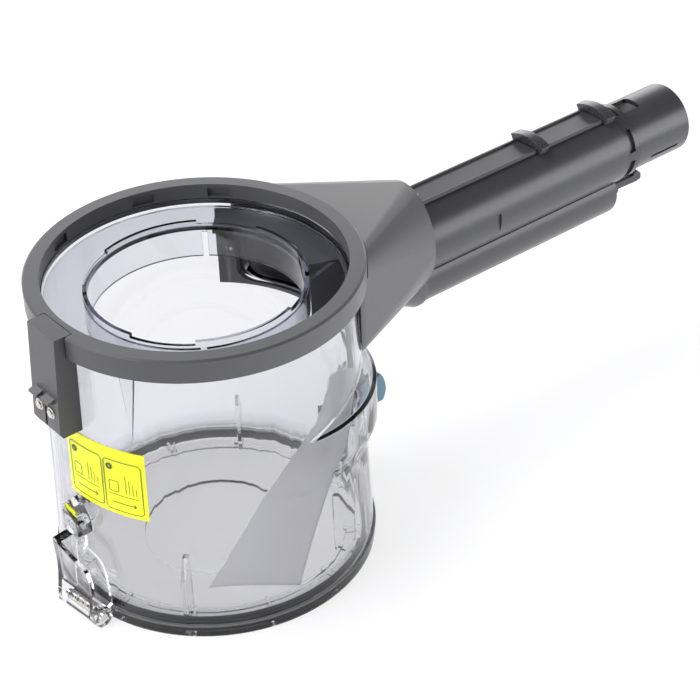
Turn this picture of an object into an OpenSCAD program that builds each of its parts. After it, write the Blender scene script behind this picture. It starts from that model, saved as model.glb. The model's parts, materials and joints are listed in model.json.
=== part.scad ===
// Clear cyclone dust bin of a cordless vacuum cleaner: a smoky clear drum with a grey top ring,
// a grey inlet cone and suction tube on one side, and a hinged clear lid at the bottom.
// The drum's axis is Z, the lid's underside is at height zero and the tube points along +X.

/* [Drum] */
// Height from the lid's underside to the top of the ring
bin_h = 130; // [116:1:150]
// Outside radius of the clear wall just under the ring
bin_r = 60.5; // [56:0.5:66]
// How much wider the clear wall is at its foot
bin_draft = 4; // [2:0.1:4.5]
// Thickness of the clear wall
bin_wall = 2.2; // [1.8:0.1:2.8]
// Height of the small bead round the foot of the wall
bead_h = 2.5; // [1.5:0.1:4]
// How far the bead stands out from the wall
bead_out = 0.7; // [0.6:0.1:1.2]
// Width of the inlet opening in the wall
inlet_w = 72; // [60:1:76]
// Height of the inlet opening in the wall
inlet_h = 30; // [24:1:32]
// How far the scroll chamber bulges out of the wall
scroll_out = 5; // [3:0.5:6.5]
// Height of the scroll chamber
scroll_h = 48; // [36:1:52]
// Direction of the scroll chamber, in degrees from the tube
scroll_dir = -46; // [-60:1:-40]
// Width of the tapered rib on the front of the wall
rib_w = 6; // [3:0.5:9]
// Length of the tapered rib
rib_len = 30; // [20:1:40]

/* [Ring] */
// How far the ring stands out over the clear wall
ring_over = 4.5; // [3:0.1:6]
// Height of the ring
ring_h = 9.5; // [8:0.1:12]
// Step from the inside of the wall to the bore of the ring
ring_step = 0.35; // [0.1:0.05:0.8]
// Depth of the rebate that takes the top of the wall
ring_rebate = 3; // [2:0.1:4]
// Bevel round the outer top edge of the ring
ring_bevel = 0.8; // [0.4:0.1:1.5]
// Depth of the lock notches in the bore of the ring
notch_depth = 1.6; // [0.8:0.1:2.4]

/* [Separator seat] */
// Outer radius of the collar that carries the separator
collar_r = 43; // [38:0.5:46]
// Wall of the collar
collar_wall = 1.6; // [1.2:0.1:2.4]
// How far the collar reaches below the shelf
collar_drop = 13.5; // [8:0.5:20]
// How far the lip of the collar stands over the shelf
collar_lip = 2.6; // [1.5:0.1:3.5]
// Thickness of the shelf
shelf_t = 2; // [1.6:0.1:3]

/* [Contact housing] */
// Width of the contact housing
contact_w = 18; // [15:0.5:22]
// Height of the contact housing
contact_h = 43; // [38:0.5:50]
// Distance of its outer face from the wall at the top
contact_top_out = 8; // [6:0.5:10]
// Distance of its outer face from the wall at the bottom
contact_low_out = 10.5; // [8:0.5:13]
// Radius of each contact
pin_r = 2.4; // [1.8:0.1:3]
// Spacing of the two contacts
pin_gap = 7.8; // [7:0.1:9]

/* [Inlet cone] */
// Length of the cone from the clear wall to its end
cone_len = 43.5; // [36:0.5:54]
// Width of the cone at the drum
cone_w = 82; // [78:1:88]
// Wall of the cone
cone_wall = 2.2; // [1.8:0.1:3]
// Half width of the cone's end
cone_end_y = 18.8; // [18.6:0.1:20]
// Half height of the cone's end
cone_end_z = 24; // [22:0.5:25]

/* [Suction tube] */
// Depth of the tube's axis below the top of the ring
axis_drop = 31.5; // [29:0.5:35]
// Outside radius of the main tube
tube_r = 17; // [16.5:0.1:17.2]
// Wall of the tube
tube_wall = 2; // [1.6:0.1:2.6]
// Length of the main tube from the end of the cone
tube_len = 112; // [90:1:180]
// Outside radius of the end spigot
spigot_r = 15.5; // [14.5:0.1:15.6]
// Length of the end spigot
spigot_len = 39; // [32:1:50]
// Length of the windowed collar
tube_collar_len = 7.5; // [6:0.5:10]

/* [Rail on the tube] */
// Width of the flat rail on top of the tube
rail_w = 13.5; // [11:0.5:14.5]
// Height of the rail's side lips over the tube's flat
rail_h = 1.6; // [1.3:0.1:2.2]
// Thickness of the rail's floor
rail_floor = 0.8; // [0.6:0.1:1]
// Length of each arched clip along the tube
clip_len = 5; // [3.5:0.5:7]
// Thickness of each arched clip over the rail
clip_t = 2.2; // [1.6:0.1:3]

/* [Cable channel] */
// Outside radius of the half-round channel under the tube
channel_r = 13; // [11.5:0.1:13.6]
// Depth of the channel's centre below the tube's axis
channel_drop = 18.7; // [17.5:0.1:20]
// Wall of the channel
channel_wall = 2; // [1.5:0.1:2.5]

/* [Lid] */
// How far the lid's flange stands out past the foot of the wall
flange_over = 0.3; // [0.1:0.1:0.4]
// Thickness of the flange
flange_t = 3; // [2.4:0.1:4]
// Thickness of the lid's floor
floor_t = 2.4; // [2:0.1:3]
// Height of the ring that plugs into the drum
plug_h = 6.6; // [5:0.1:9]
// Wall of the plug ring
plug_wall = 1.6; // [1.2:0.1:2.2]
// Radius of the round recess in the middle of the lid
disc_r = 30; // [20:1:36]
// Depth of the round recess
disc_depth = 0.8; // [0.4:0.1:1.2]
// Height of the four fins over the lid's floor
fin_h = 28; // [18:1:30]
// Radial length of each fin
fin_len = 8.5; // [6:0.5:10]
// Thickness of each fin
fin_t = 2; // [1.4:0.1:2.6]

/* [Hinge] */
// Width of the hinge bracket
hinge_w = 23; // [20:0.5:26]
// Height of the hinge bracket
hinge_h = 34; // [30:0.5:38]
// Depth of the bracket at its top
hinge_depth = 8.5; // [7.5:0.5:11]
// Distance of the hinge pin outside the bead at the foot of the wall
hinge_out = 4.5; // [4.4:0.1:6]
// Height of the hinge pin over the lid's underside
hinge_z = 4.5; // [4.4:0.1:5]
// Direction of the hinge, in degrees from the tube
hinge_dir = 186; // [180:1:188]
// Radius of the hinge pin
hinge_pin_r = 1.8; // [1.4:0.1:2]
// Radius of the knuckle round the pin
knuckle_r = 4; // [3.6:0.1:4]

/* [Latch] */
// Width of the rocking latch
latch_w = 11.6; // [9:0.1:14]
// Height of the latch's pivot over the lid's underside
latch_z = 24; // [22:0.5:28]
// Distance of the latch's pivot outside the foot of the wall
latch_out = 7; // [7:0.5:9]
// Radius of the latch pin
latch_pin_r = 1.5; // [1.2:0.1:1.8]
// Height of the coloured button
button_h = 14; // [10:0.5:18]
// Width of the coloured button
button_w = 16; // [12:0.5:20]

/* [Release tab] */
// Length of the release tab past its pivot
tab_len = 19; // [14:0.5:24]
// Width of the release tab
tab_w = 10; // [8:0.5:10.4]

/* [Label] */
// Height of the label
label_h = 30; // [20:1:31]
// Turn of the label round the wall, in degrees
label_turn = 35; // [20:1:40]

/* [Hidden] */

// Roundness of large and small curves
big_fn = 128;
mid_fn = 64;
small_fn = 40;
hull_fn = 48;

// Clearances between pieces
seat_gap = 0.3;
run_gap = 0.05;
face_gap = 0.2;
cut_over = 1;

// Colours
clear_tint = [0.80, 0.80, 0.86, 0.45];
dark_grey = [0.27, 0.27, 0.28];
mid_grey = [0.38, 0.38, 0.39];
light_grey = [0.55, 0.55, 0.56];
steel_grey = [0.75, 0.75, 0.77];
teal = [0.10, 0.38, 0.48];
label_yellow = [0.92, 0.94, 0.10];
seal_grey = [0.16, 0.16, 0.18];

// Drum
ring_r = bin_r + ring_over;
ring_bore_r = bin_r - bin_wall + ring_step;
ring_z = bin_h - ring_h;
shell_top = ring_z + ring_rebate;
shell_foot = flange_t + face_gap;
function wall_r(z) = bin_r + bin_draft * (shell_top - z) / (shell_top - shell_foot);
function bore_r(z) = wall_r(z) - bin_wall;
foot_r = wall_r(shell_foot);
bead_r = foot_r + bead_out;
tube_z = bin_h - axis_drop;

// Inlet opening: its roof lies just under the shelf
shelf_z = ring_z;
inlet_top = shelf_z - shelf_t - cone_wall;
inlet_z = inlet_top - inlet_h / 2;
inlet_round = inlet_h / 5;

// Scroll chamber: an off-centre drum that swells out of the wall under the inlet
scroll_shift = scroll_out * 3.6;
scroll_top = inlet_top - inlet_h - bin_wall / 2;
scroll_low = scroll_top - scroll_h;
scroll_mid = scroll_top - scroll_h / 2;
scroll_brow = scroll_top - scroll_out * 1.6;
scroll_r = wall_r(scroll_mid) + scroll_out - scroll_shift;
scroll_foot_r = wall_r(scroll_low) - scroll_shift - bin_draft;
scroll_head_r = wall_r(scroll_top) - scroll_shift - bin_draft / 2;

// Tapered rib on the wall
rib_dir = 210;
rib_out = bin_wall * 0.7;

// Lock notches in the ring
notch_dirs = [45, 75, 117];
notch_turn = 9;
notch_h = ring_h / 2;

// Separator seat
seat_r = bore_r(shelf_z) - seat_gap;
lip_cut_dirs = [20, 110, 200, 290];
lip_cut_turn = 34;
lip_cut_share = 0.6;
slot_dirs = [50, 148, 238, 328];
slot_w = collar_wall * 1.5;
slot_share = 0.84;

// Contact housing
contact_z = bin_h - contact_h;
hood_w = pin_r * 2.3;
hood_out = pin_r * 0.9;
pin_z_share = 0.22;
hood_share = 0.37;
pin_z = contact_z + contact_h * pin_z_share;
pin_head = pin_r * 0.3;
pin_depth = pin_r * 1.2;
slit_w = pin_r / 2;
slit_top_share = 0.34;
slit_low_share = 0.04;

// Inlet cone
cone_end_x = bin_r + cone_len;
cone_half_turn = asin(cone_w / 2 / foot_r);
cone_base_x = bin_r * cos(cone_half_turn);
cone_low = scroll_top + bin_wall / 4;
cone_top = bin_h - ring_bevel;
socket_depth = tube_wall * 2;
cone_duct_r = tube_r - tube_wall - seat_gap;
cone_lift = cone_end_z / 15;
fairing_share = 0.45;
fairing_nose_share = 0.6;

// Dark frame round the inlet, inside the wall
frame_t = 1.6;
frame_r = bore_r(shelf_z) - seat_gap;
frame_low = inlet_z - inlet_h / 2 - frame_t;
frame_from = -46;
frame_to = 47;
roof_from = -22;
roof_to = 46;
roof_z = shelf_z - shelf_t - seat_gap - frame_t;
fence_dir = -19.5;
fence_toe = 15;
fence_drop = inlet_h * 0.8;

// Tube
tube_start = cone_end_x - socket_depth;
tube_end = cone_end_x + tube_len;
spigot_end = tube_end + spigot_len;
flat_z = tube_r - tube_wall * 0.4;
neck_r = spigot_r - seat_gap;
neck_end = tube_end + tube_collar_len + 2 * seat_gap;
window_len = spigot_len / 4;
window_w = spigot_r * 0.6;
window_x = tube_end + tube_collar_len + window_len * 0.62;
groove_len = spigot_len * 0.42;
groove_w = tube_wall * 0.7;
groove_depth = tube_wall / 3;
groove_drop = spigot_r * 0.42;
side_slot_share = 0.31;
side_slot_h = tube_r * 0.6;
side_slot_w = tube_wall * 1.5;
side_slot_depth = tube_wall / 2;

// Windowed collar
tube_collar_r = tube_r - seat_gap;
collar_bore = neck_r + seat_gap;
collar_window_share = 0.45;
collar_windows = [[8, 44], [-42, -6], [136, 172], [186, 222], [70, 110]];

// Rail and clips
rail_x = cone_end_x + seat_gap;
rail_lip = rail_floor * 1.4;
clip_shares = [0.62, 0.965];
clip_turn = 27;
clip_foot_gap = face_gap;
screw_r = rail_w * 0.14;
screw_x = rail_x + screw_r * 2.2;
shank_r = screw_r * 0.55;
screw_head = screw_r * 0.5;

// Cable channel
channel_x = cone_end_x + seat_gap;
channel_end = tube_end - channel_wall;
channel_z = tube_z - channel_drop;
lug_t = channel_wall * 0.9;

// Release tab
tab_z = channel_z - channel_wall * 1.1;
tab_x = channel_end + channel_wall * 2;
tab_pin_r = 1.6;
tab_t = 3;
tab_lug_r = tab_pin_r * 1.9;

// Lid
flange_r = foot_r + flange_over;
plug_r = foot_r - bin_wall - plug_wall * 1.4;
seal_r = foot_r - bin_wall - seat_gap * 1.6;
seal_z = flange_t + plug_h * 0.28;
seal_h = plug_h * 0.34;
rib_ring_r = plug_r - plug_wall - plug_h;
web_count = 12;
web_h = plug_h / 2;
fin_dirs = [42.5, 122, 222.5, 302];
fin_r = plug_r - plug_wall / 2;
fin_chamfer = fin_len * 0.9;
catch_w = latch_w * 0.9;
catch_out = bead_h * 1.6;
catch_t = bead_h * 0.9;

// Hinge
hinge_x = -(bead_r + hinge_out);
pin_out = bead_out + hinge_out;
ear_t = hinge_w * 0.1;
knuckle_w = hinge_w * 0.6;
boss_r = knuckle_r + face_gap;
hood_low = hinge_z + knuckle_r * 2.4;
bracket_t = ear_t * 0.8;
hood_gap = bracket_t * 1.2;
// Outline of the bracket seen from outside, as shares of its width and height
hood_shares = [[-0.5, -0.2], [-0.5, 1], [-0.36, 0.95], [-0.09, 0.87], [0.2, 0.82], [0.3, 0.76],
    [0.37, 0.64], [0.41, 0.44], [0.45, 0.15], [0.46, -0.2]];
bridge_shares = [[-0.24, 1.2], [-0.24, 1.54], [-0.15, 1.52], [0.02, 1.4], [0.1, 1.29],
    [0.11, 1.16]];

// Latch
latch_x = foot_r + latch_out;
latch_ear_t = latch_w * 0.17;
latch_boss_r = latch_pin_r * 2.5;
toe_h = flange_t * 0.66;
toe_z = flange_t - toe_h - face_gap;
toe_x = flange_r + catch_out + seat_gap;
button_x = latch_x + latch_boss_r * 0.8;
button_low = latch_z + latch_boss_r * 1.5;
button_out = 11;

// Label
label_t = 0.35;
label_top = contact_z - label_t * 8;
label_from = 178.5;

// Swirl ramp: the edges of a sheet that runs down and round the wall from the inlet
ramp_t = 1.6;
ramp_steps = 30;
ramp_rows = 6;
ramp_in_r = collar_r + plug_h;
ramp_low = flange_t + plug_h + ramp_t * 2;
ramp_high = scroll_top - bin_wall - ramp_t;
ramp_in_turns = [309, 293, 278, 263, 249, 231];
ramp_out_turns = [331, 311, 296, 283, 272, 266];
ramp_in_drop_shares = [1.02, 0.86, 0.78, 0.64, 0.39, 0];
ramp_out_drop_shares = [1.0, 0.93, 0.71, 0.54, 0.24, 0];
ramp_crease = 3.2;

// Helpers
function pick(list, i) = list[min(max(i, 0), len(list) - 1)];
function smooth(list, t) =
    let (i = floor(t), f = t - i, a = pick(list, i - 1), b = pick(list, i),
        c = pick(list, i + 1), d = pick(list, i + 2))
    b + f * (c - a + f * (2 * a - 5 * b + 4 * c - d + f * (3 * (b - c) + d - a))) / 2;
function bend(points, t) = len(points) == 1 ? points[0] :
    bend([for (i = [0 : len(points) - 2]) points[i] * (1 - t) + points[i + 1] * t], t);
function bend_line(points, steps) = [for (i = [0 : steps]) bend(points, i / steps)];

module soft_rect(w, h, r) {
    square([w - 2 * r, h], center = true);
    square([w, h - 2 * r], center = true);
    for (x = [-1, 1], y = [-1, 1])
        translate([x * (w / 2 - r), y * (h / 2 - r)])
            circle(r = r, $fn = small_fn);
}

// A bar along X whose outline is drawn in Y and Z
module along_x(from, to) {
    translate([from, 0, 0])
        rotate([90, 0, 90])
            linear_extrude(to - from)
                children();
}

// A bar along Y whose outline is drawn in X and Z
module across_y(w) {
    translate([0, w / 2, 0])
        rotate([90, 0, 0])
            linear_extrude(w)
                children();
}

module rod_x(from, to, r, z, fn = mid_fn) {
    translate([from, 0, z])
        rotate([0, 90, 0])
            cylinder(h = to - from, r = r, $fn = fn);
}

module rod_y(w, r, x, z) {
    translate([x, w / 2, z])
        rotate([90, 0, 0])
            cylinder(h = w, r = r, $fn = small_fn);
}

module sector(from, to) {
    rotate([0, 0, from])
        rotate_extrude(angle = to - from, $fn = big_fn)
            children();
}

// A sector of a ring round the tube's axis; angle zero faces -Y and ninety degrees is up
module tube_sector(x, len, inner, outer, from, to) {
    translate([x, 0, tube_z])
        rotate([90, 0, 90])
            rotate([0, 0, 180 - to])
                rotate_extrude(angle = to - from, $fn = mid_fn)
                    translate([inner, 0])
                        square([outer - inner, len]);
}

module wall_space(extra, low, top) {
    rotate_extrude($fn = big_fn)
        polygon([[0, low], [wall_r(low) + extra, low], [wall_r(top) + extra, top], [0, top]]);
}

module scroll_drum(inset) {
    translate([scroll_shift * cos(scroll_dir), scroll_shift * sin(scroll_dir), 0])
        rotate_extrude($fn = big_fn)
            polygon([[0, scroll_low], [scroll_foot_r - inset, scroll_low],
                [scroll_r - inset, scroll_mid], [scroll_r - inset, scroll_brow],
                [scroll_head_r - inset, scroll_top], [0, scroll_top]]);
}

module bin_shell() {
    color(clear_tint)
        difference() {
            union() {
                wall_space(0, shell_foot, shell_top);
                translate([0, 0, shell_foot])
                    cylinder(h = bead_h, r = bead_r, $fn = big_fn);
                scroll_drum(0);
                rotate([0, 0, rib_dir])
                    along_x(bin_r - rib_out, bin_r + rib_out)
                        polygon([[-rib_w / 2, ring_z - cut_over], [0, ring_z - rib_len],
                            [rib_w / 2, ring_z - cut_over]]);
            }
            wall_space(-bin_wall, shell_foot - cut_over, shell_top + cut_over);
            scroll_drum(bin_wall);
            along_x(bin_r / 2, bin_r * 2)
                translate([0, inlet_z])
                    soft_rect(inlet_w, inlet_h, inlet_round);
        }
}

module separator_seat() {
    color(clear_tint)
        difference() {
            rotate_extrude($fn = big_fn)
                polygon([[collar_r - collar_wall, shelf_z - collar_drop],
                    [collar_r, shelf_z - collar_drop], [collar_r, shelf_z - shelf_t],
                    [seat_r, shelf_z - shelf_t], [seat_r, shelf_z], [collar_r, shelf_z],
                    [collar_r, shelf_z + collar_lip],
                    [collar_r - collar_wall, shelf_z + collar_lip]]);
            for (d = lip_cut_dirs)
                sector(d, d + lip_cut_turn)
                    translate([collar_r - 2 * collar_wall, shelf_z + collar_lip * (1 - lip_cut_share)])
                        square([4 * collar_wall, collar_lip]);
            for (d = slot_dirs)
                rotate([0, 0, d])
                    along_x(collar_r - 2 * collar_wall, collar_r + collar_wall)
                        translate([-slot_w / 2, shelf_z - collar_drop - cut_over])
                            square([slot_w, collar_drop * slot_share + cut_over]);
        }
}

module top_ring() {
    color(dark_grey)
        difference() {
            rotate_extrude($fn = big_fn)
                polygon([[ring_bore_r, shell_top], [ring_bore_r, bin_h],
                    [ring_r - ring_bevel, bin_h], [ring_r, bin_h - ring_bevel], [ring_r, ring_z],
                    [bin_r + seat_gap, ring_z], [bin_r + seat_gap, shell_top]]);
            translate([-2 * ring_r, -contact_w / 2 - seat_gap, ring_z - cut_over])
                cube([2 * ring_r - bin_r - seat_gap, contact_w + 2 * seat_gap, ring_h + 2 * cut_over]);
            for (d = notch_dirs)
                sector(d - notch_turn / 2, d + notch_turn / 2)
                    translate([ring_bore_r - cut_over, shell_top + ring_bevel])
                        square([cut_over + notch_depth, notch_h - ring_bevel]);
        }
}

module contact_housing() {
    color(mid_grey)
        difference() {
            union() {
                across_y(contact_w)
                    polygon([[-bin_r * 0.9, bin_h], [-(bin_r + contact_top_out), bin_h],
                        [-(bin_r + contact_low_out), contact_z + pin_r],
                        [-(bin_r + contact_low_out - pin_r / 2), contact_z],
                        [-bin_r * 0.9, contact_z]]);
                for (y = [-1, 1])
                    translate([0, y * pin_gap / 2, 0])
                        across_y(hood_w)
                            polygon([[-bin_r, contact_z + contact_h * hood_share + 2 * hood_out],
                                [-(bin_r + contact_low_out + hood_out),
                                    contact_z + contact_h * hood_share],
                                [-(bin_r + contact_low_out + hood_out),
                                    contact_z + contact_h * hood_share - hood_out / 2],
                                [-bin_r, contact_z + contact_h * hood_share - hood_out / 2]]);
            }
            wall_space(seat_gap, contact_z - cut_over, bin_h + cut_over);
            translate([-(bin_r + 2 * seat_gap), -contact_w, ring_z - seat_gap])
                cube([bin_r, 2 * contact_w, ring_h + cut_over]);
            for (y = [-1, 1])
                translate([0, y * pin_gap / 2, pin_z])
                    rotate([0, -90, 0])
                        cylinder(h = 2 * bin_r, r = pin_r + run_gap, $fn = small_fn);
            translate([-(2 * bin_r + contact_low_out - pin_depth), -slit_w / 2,
                    contact_z + contact_h * slit_low_share])
                cube([bin_r, slit_w, contact_h * (slit_top_share - slit_low_share)]);
        }
}

module contact_pins() {
    color(steel_grey)
        for (y = [-1, 1])
            translate([0, y * pin_gap / 2, pin_z])
                rotate([0, -90, 0])
                    translate([0, 0, bin_r + bin_draft + 2 * seat_gap]) {
                        cylinder(h = contact_low_out - bin_draft - pin_head, r = pin_r,
                            $fn = small_fn);
                        cylinder(h = contact_low_out - bin_draft, r = pin_r * 0.7, $fn = small_fn);
                    }
}

module cone_form(base_w, base_low, base_top, base_x, end_y, end_z, end_x, round, lift = 0) {
    hull() {
        along_x(base_x, base_x + bin_wall)
            translate([0, (base_low + base_top) / 2])
                soft_rect(base_w, base_top - base_low, round, $fn = hull_fn);
        translate([end_x, 0, tube_z + lift])
            scale([1, end_y / end_z, 1])
                rotate([0, -90, 0])
                    cylinder(h = bin_wall, r = end_z, $fn = hull_fn);
    }
}

module inlet_cone() {
    color(mid_grey)
        difference() {
            union() {
                cone_form(cone_w, cone_low, cone_top, cone_base_x, cone_end_y, cone_end_z,
                    cone_end_x, inlet_round, cone_lift);
                hull() {
                    rod_x(cone_end_x - bin_wall, cone_end_x, channel_r + cone_wall / 3, channel_z);
                    rod_x(cone_end_x - cone_len * fairing_share,
                        cone_end_x - cone_len * fairing_share + bin_wall,
                        channel_r * fairing_nose_share, channel_z + channel_r / 4);
                }
            }
            wall_space(seat_gap, cone_low - 2 * channel_r, bin_h + cut_over);
            translate([0, 0, ring_z - seat_gap])
                cylinder(h = ring_h + 2 * cut_over, r = ring_r + seat_gap, $fn = big_fn);
            cone_form(inlet_w, inlet_z - inlet_h / 2, inlet_top, cone_base_x - bin_wall,
                cone_duct_r, cone_duct_r, tube_start, inlet_round);
            rod_x(tube_start - bin_wall, tube_start + cut_over, cone_duct_r, tube_z);
            rod_x(tube_start, cone_end_x + cut_over, tube_r + seat_gap, tube_z);
        }
}

module inlet_frame() {
    color(seal_grey) {
        difference() {
            sector(frame_from, frame_to)
                translate([frame_r - frame_t, frame_low])
                    square([frame_t, roof_z + frame_t - frame_low]);
            along_x(bin_r / 2, bin_r * 2)
                translate([0, inlet_z])
                    soft_rect(inlet_w, inlet_h, inlet_round);
        }
        sector(roof_from, roof_to)
            translate([collar_r + seat_gap, roof_z])
                square([frame_r - collar_r - seat_gap, frame_t]);
        intersection() {
            translate([(frame_r - frame_t / 2) * cos(fence_dir), (frame_r - frame_t / 2) * sin(fence_dir),
                    roof_z - fence_drop])
                rotate([0, 0, 180 + fence_toe])
                    translate([0, -frame_t / 2, 0])
                        cube([frame_r, frame_t, fence_drop + frame_t / 2]);
            difference() {
                cylinder(h = bin_h, r = frame_r - frame_t / 3, $fn = big_fn);
                cylinder(h = bin_h, r = collar_r + seat_gap, $fn = big_fn);
                translate([-2 * bin_r, -bin_r, 0])
                    cube([2 * bin_r, 2 * bin_r, bin_h]);
            }
        }
    }
}

function ramp_point(i, j) =
    let (t = i * (len(ramp_in_turns) - 1) / ramp_steps, f = j / ramp_rows,
        arch = ramp_crease * 4 * f * (1 - f),
        a = smooth(ramp_in_turns, t) * (1 - f) + smooth(ramp_out_turns, t) * f,
        z = ramp_low + (ramp_high - ramp_low)
            * (smooth(ramp_in_drop_shares, t) * (1 - f) + smooth(ramp_out_drop_shares, t) * f),
        out_r = bore_r(z) - 2 * seat_gap - ramp_t / 2,
        r = ramp_in_r * (1 - f) + out_r * f)
    [r * cos(a), r * sin(a), z + arch];
function ramp_side(i, j, s) =
    let (p = ramp_point(i, j),
        along = ramp_point(min(i + 1, ramp_steps), j) - ramp_point(max(i - 1, 0), j),
        over = ramp_point(i, min(j + 1, ramp_rows)) - ramp_point(i, max(j - 1, 0)),
        n = cross(along, over))
    p + n / norm(n) * s * ramp_t / 2;

module swirl_ramp() {
    rows = ramp_rows + 1;
    count = (ramp_steps + 1) * rows;
    points = [for (s = [1, -1], i = [0 : ramp_steps], j = [0 : ramp_rows]) ramp_side(i, j, s)];
    faces = concat(
        [for (i = [0 : ramp_steps - 1], j = [0 : ramp_rows - 1])
            [i * rows + j, i * rows + j + 1, (i + 1) * rows + j + 1, (i + 1) * rows + j]],
        [for (i = [0 : ramp_steps - 1], j = [0 : ramp_rows - 1])
            [count + i * rows + j, count + (i + 1) * rows + j,
                count + (i + 1) * rows + j + 1, count + i * rows + j + 1]],
        [for (i = [0 : ramp_steps - 1])
            [i * rows, (i + 1) * rows, count + (i + 1) * rows, count + i * rows]],
        [for (i = [0 : ramp_steps - 1])
            [i * rows + ramp_rows, count + i * rows + ramp_rows,
                count + (i + 1) * rows + ramp_rows, (i + 1) * rows + ramp_rows]],
        [for (j = [0 : ramp_rows - 1]) [j, count + j, count + j + 1, j + 1]],
        [for (j = [0 : ramp_rows - 1])
            [ramp_steps * rows + j, ramp_steps * rows + j + 1,
                count + ramp_steps * rows + j + 1, count + ramp_steps * rows + j]]);
    color(clear_tint)
        polyhedron(points = points, faces = faces, convexity = 6);
}

module suction_tube() {
    color(dark_grey)
        difference() {
            union() {
                rod_x(tube_start, tube_end, tube_r, tube_z);
                rod_x(tube_end - tube_wall, neck_end, neck_r, tube_z);
                rod_x(neck_end, spigot_end, spigot_r, tube_z);
            }
            rod_x(tube_start - cut_over, tube_end - 2 * tube_wall, tube_r - tube_wall, tube_z);
            rod_x(tube_end - 3 * tube_wall, spigot_end + cut_over, spigot_r - tube_wall, tube_z);
            translate([cone_end_x, -tube_r, tube_z + flat_z])
                cube([tube_len - tube_wall, 2 * tube_r, tube_r]);
            translate([window_x, 0, tube_z])
                linear_extrude(2 * tube_r)
                    soft_rect(window_len, window_w, window_w / 8);
            for (y = [-1, 1])
                translate([spigot_end - groove_len * 1.35,
                        y * spigot_r * cos(asin(groove_drop / spigot_r)) - groove_depth,
                        tube_z - groove_drop])
                    cube([groove_len, 2 * groove_depth, groove_w]);
            translate([cone_end_x + tube_len * side_slot_share, -tube_r - cut_over,
                    tube_z - side_slot_h * 0.7])
                cube([side_slot_w, cut_over + side_slot_depth, side_slot_h]);
            translate([screw_x, 0, tube_z])
                cylinder(h = 2 * tube_r, r = shank_r + run_gap, $fn = small_fn);
        }
}

module tube_collar() {
    color(seal_grey)
        difference() {
            rod_x(tube_end, tube_end + tube_collar_len, tube_collar_r, tube_z);
            rod_x(tube_end - cut_over, tube_end + tube_collar_len + cut_over, collar_bore, tube_z);
            for (w = collar_windows)
                tube_sector(tube_end + tube_collar_len * 0.18, tube_collar_len * collar_window_share,
                    neck_r - cut_over, tube_r + cut_over, w[0], w[1]);
        }
}

module rail_strip() {
    color(dark_grey)
        difference() {
            along_x(rail_x, tube_end - 2 * tube_wall)
                translate([0, tube_z + flat_z])
                    polygon([[-rail_w / 2, 0], [rail_w / 2, 0], [rail_w / 2, rail_h],
                        [rail_w / 2 - rail_lip, rail_h], [rail_w / 2 - rail_lip, rail_floor],
                        [-rail_w / 2 + rail_lip, rail_floor], [-rail_w / 2 + rail_lip, rail_h],
                        [-rail_w / 2, rail_h]]);
            translate([screw_x, 0, tube_z])
                cylinder(h = 2 * tube_r, r = shank_r + run_gap, $fn = small_fn);
        }
}

module rail_clips() {
    clip_top = norm([rail_w / 2, flat_z + rail_h]) + clip_foot_gap;
    color(seal_grey)
        for (s = clip_shares)
            difference() {
                tube_sector(cone_end_x + tube_len * s - clip_len / 2, clip_len,
                    tube_r + clip_foot_gap, clip_top + clip_t, 90 - clip_turn, 90 + clip_turn);
                translate([cone_end_x + tube_len * s - clip_len, -rail_w / 2 - clip_foot_gap,
                        tube_z])
                    cube([2 * clip_len, rail_w + 2 * clip_foot_gap,
                        flat_z + rail_h + clip_foot_gap]);
            }
}

module rail_screw() {
    color(steel_grey)
        translate([screw_x, 0, tube_z + flat_z]) {
            translate([0, 0, rail_floor])
                cylinder(h = screw_head, r = screw_r, $fn = small_fn);
            translate([0, 0, -tube_wall * 0.4])
                cylinder(h = rail_floor + tube_wall * 0.4, r = shank_r, $fn = small_fn);
        }
}

module cable_channel() {
    color(dark_grey)
        difference() {
            union() {
                rod_x(channel_x, channel_end, channel_r, channel_z);
                for (y = [-1, 1])
                    translate([0, y * (tab_w / 2 + face_gap + lug_t / 2), 0]) {
                        rod_y(lug_t, tab_lug_r, tab_x, tab_z);
                        across_y(lug_t)
                            translate([channel_end - channel_wall, tab_z - tab_lug_r])
                                square([tab_x - channel_end + channel_wall, 2 * tab_lug_r]);
                    }
            }
            rod_x(channel_x + channel_wall, channel_end - channel_wall,
                channel_r - channel_wall, channel_z);
            rod_x(channel_x - cut_over, spigot_end, tube_r + face_gap, tube_z);
            rod_y(tab_w * 2, tab_pin_r + run_gap, tab_x, tab_z);
        }
}

module release_tab() {
    tip = tab_x + tab_len;
    color(mid_grey) {
        rod_y(tab_w + 2 * face_gap + 2 * lug_t, tab_pin_r, tab_x, tab_z);
        across_y(tab_w) {
            translate([tab_x, tab_z])
                circle(r = tab_t * 0.8, $fn = small_fn);
            polygon([[tab_x, tab_z + tab_t / 2], [tab_x, tab_z - tab_t / 2],
                [tip - tab_t, tab_z - tab_t * 0.7], [tip, tab_z - tab_t * 0.5],
                [tip, tab_z + tab_t * 0.4], [tip - tab_t * 0.6, tab_z + tab_t],
                [tip - tab_t * 1.4, tab_z + tab_t], [tip - tab_t * 1.6, tab_z + tab_t / 2]]);
        }
    }
}

// Side view of the hinge bracket, drawn outwards from the wall
bracket_out = [[hinge_depth, hinge_h], [hinge_depth, hinge_h * 0.8],
    [hinge_depth * 0.72, hinge_h * 0.5], [pin_out + boss_r, hinge_h * 0.34],
    [pin_out + boss_r, hinge_z]];
module bracket_side(inset) {
    line = bend_line(bracket_out, 14);
    polygon(concat([for (p = line) [-(foot_r + p[0] - inset), p[1]]],
        [[hinge_x + inset, hinge_z], [-(foot_r - bin_draft), hinge_z + boss_r],
            [-(foot_r - bin_draft), hinge_h]]));
}

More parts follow.
